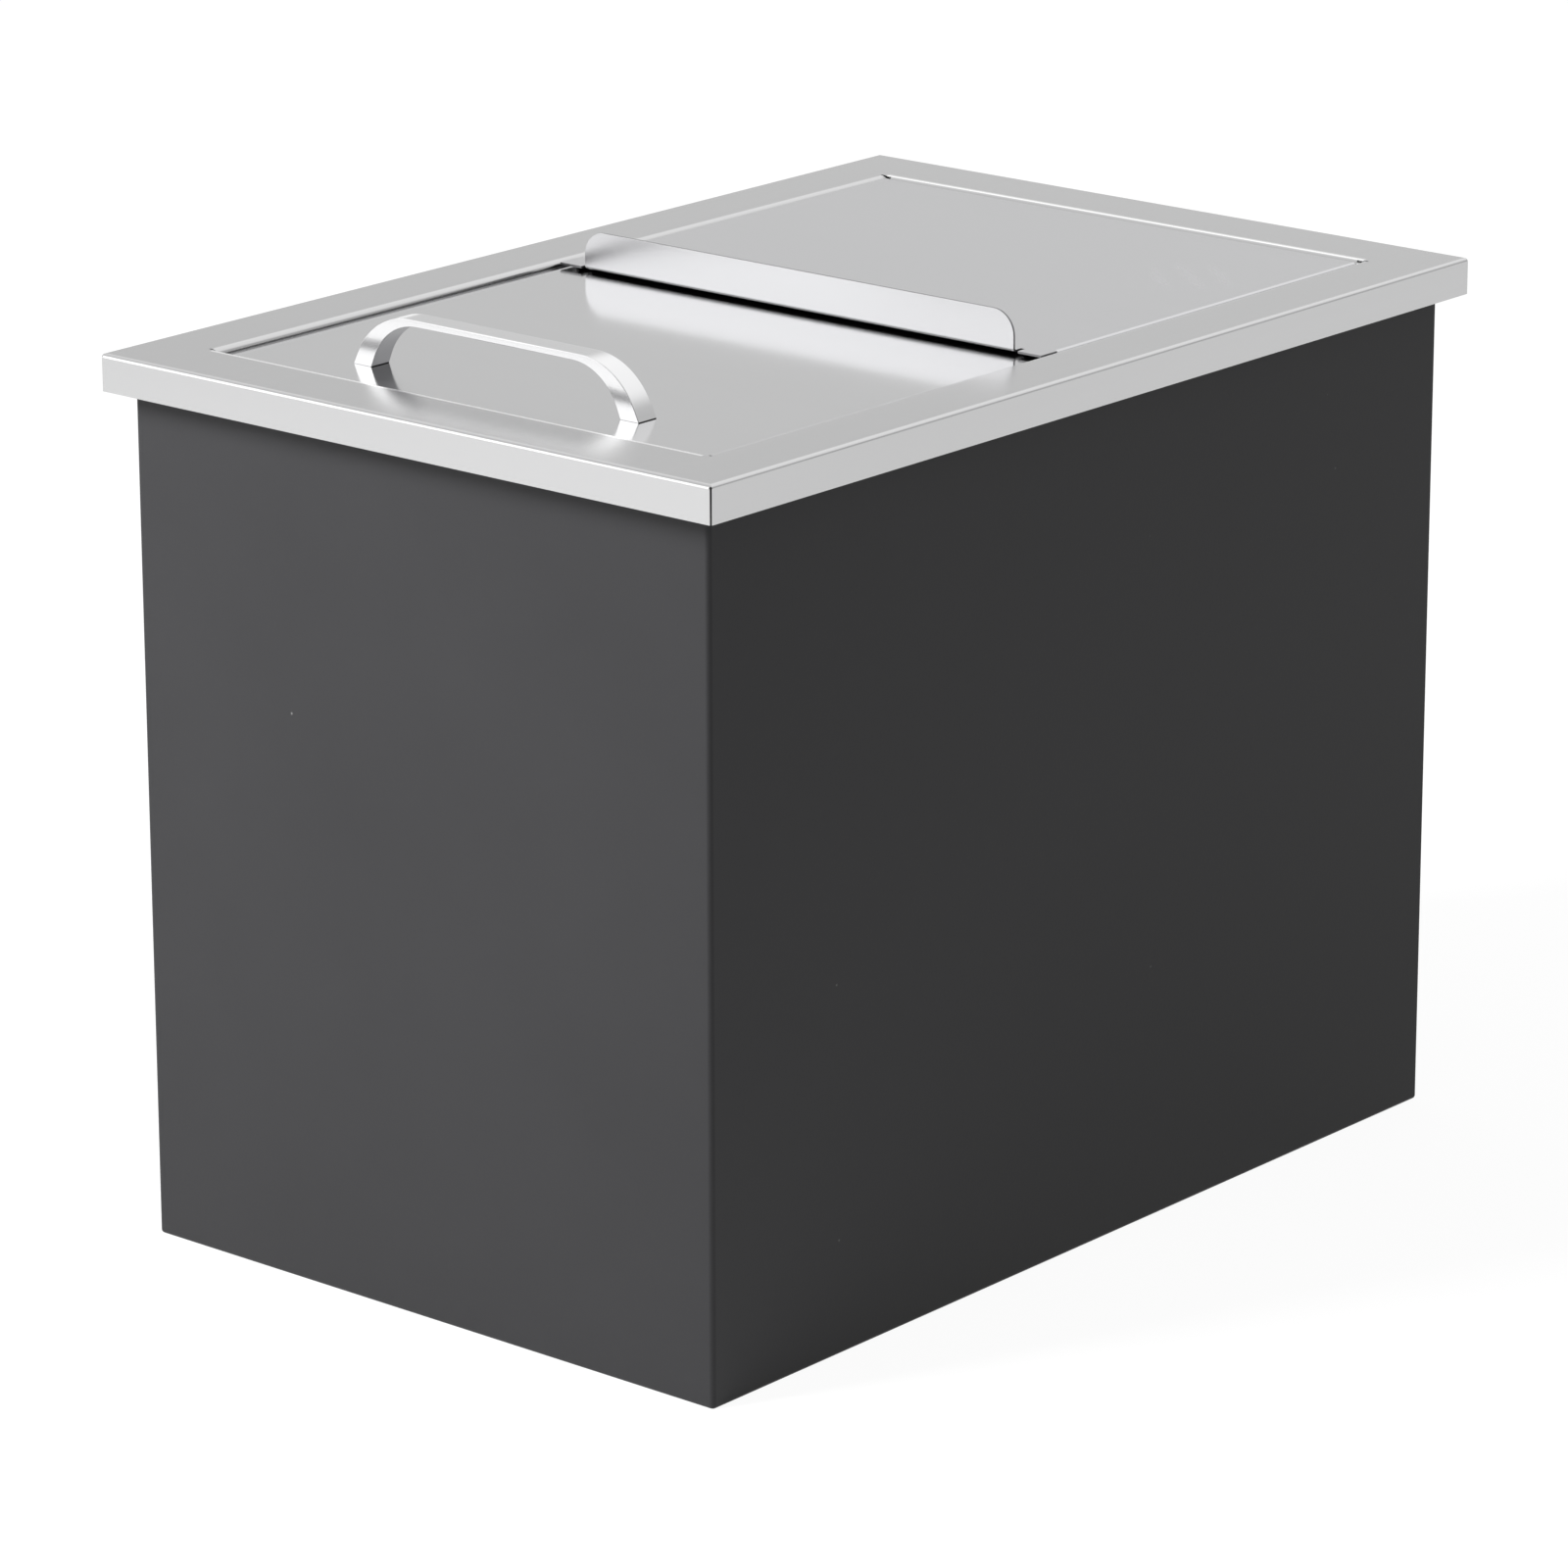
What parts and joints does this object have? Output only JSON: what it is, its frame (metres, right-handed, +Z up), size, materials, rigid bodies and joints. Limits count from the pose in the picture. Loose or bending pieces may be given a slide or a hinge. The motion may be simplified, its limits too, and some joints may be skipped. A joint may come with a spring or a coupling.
{
  "type": "drop in ice bin",
  "caption": "Insulated rectangular ice bin that drops into a worktop cut-out, with a sliding front cover under a lift-out rear cover and a plugged floor drain.",
  "frame": {"origin": "centre of the base, on the surface that the bin stands on", "axes": "+Z up out of the opening, +Y along the long side from the handle end to the rear cover, +X across the short side"},
  "size_m": [0.31, 0.47, 0.3802],
  "materials": {
    "brushed_rim_steel": "satin brushed along the long side",
    "basin_steel": "satin brushed",
    "polished_cover_steel": "polished, slightly hazy",
    "brushed_cover_steel": "polished, slightly hazy",
    "handle_chrome": "bright chrome plate",
    "black_coating": "satin black coat on sheet steel",
    "black_coated_base": "satin black coat on sheet steel",
    "drain_metal": "turned and polished steel",
    "zinc_plate": "zinc plate",
    "white_foam": "rigid foam board",
    "black_rubber": "matte moulded rubber"
  },
  "bodies": {
    "bin": {"rim_frame": "brushed_rim_steel", "inner_liner": "basin_steel", "outer_jacket": "black_coating", "seam_rivet_1": "black_coating", "seam_rivet_2": "black_coating", "seam_rivet_3": "black_coating", "seam_rivet_4": "black_coating", "seam_rivet_5": "black_coating", "bottom_panel": "black_coated_base", "foam_wall_left": "white_foam", "foam_wall_right": "white_foam", "foam_wall_front": "white_foam", "foam_wall_back": "white_foam", "foam_floor_front": "white_foam", "foam_floor_back": "white_foam", "foam_floor_left": "white_foam", "foam_floor_right": "white_foam", "drain_outlet": "drain_metal", "drain_gasket": "black_rubber", "drain_lock_nut": "drain_metal", "outlet_grommet": "black_rubber"},
    "front_cover": {"front_cover": "polished_cover_steel", "handle": "handle_chrome", "handle_washer_left": "zinc_plate", "handle_washer_right": "zinc_plate", "handle_screw_left": "zinc_plate", "handle_screw_right": "zinc_plate"},
    "rear_cover": {"rear_cover": "brushed_cover_steel"},
    "drain_plug": {"drain_plug": "black_rubber"}
  },
  "joints": [
    {"name": "front_cover_slide", "type": "slide", "parent": "bin", "child": "front_cover", "axis": [0, 1, 0], "range_m": [0, 0.159]},
    {"name": "rear_cover_lift", "type": "slide", "parent": "bin", "child": "rear_cover", "axis": [0, 0, 1], "range_m": [0, 0.15]},
    {"name": "drain_plug_lift", "type": "slide", "parent": "bin", "child": "drain_plug", "axis": [0, 0, 1], "range_m": [0, 0.1]}
  ]
}
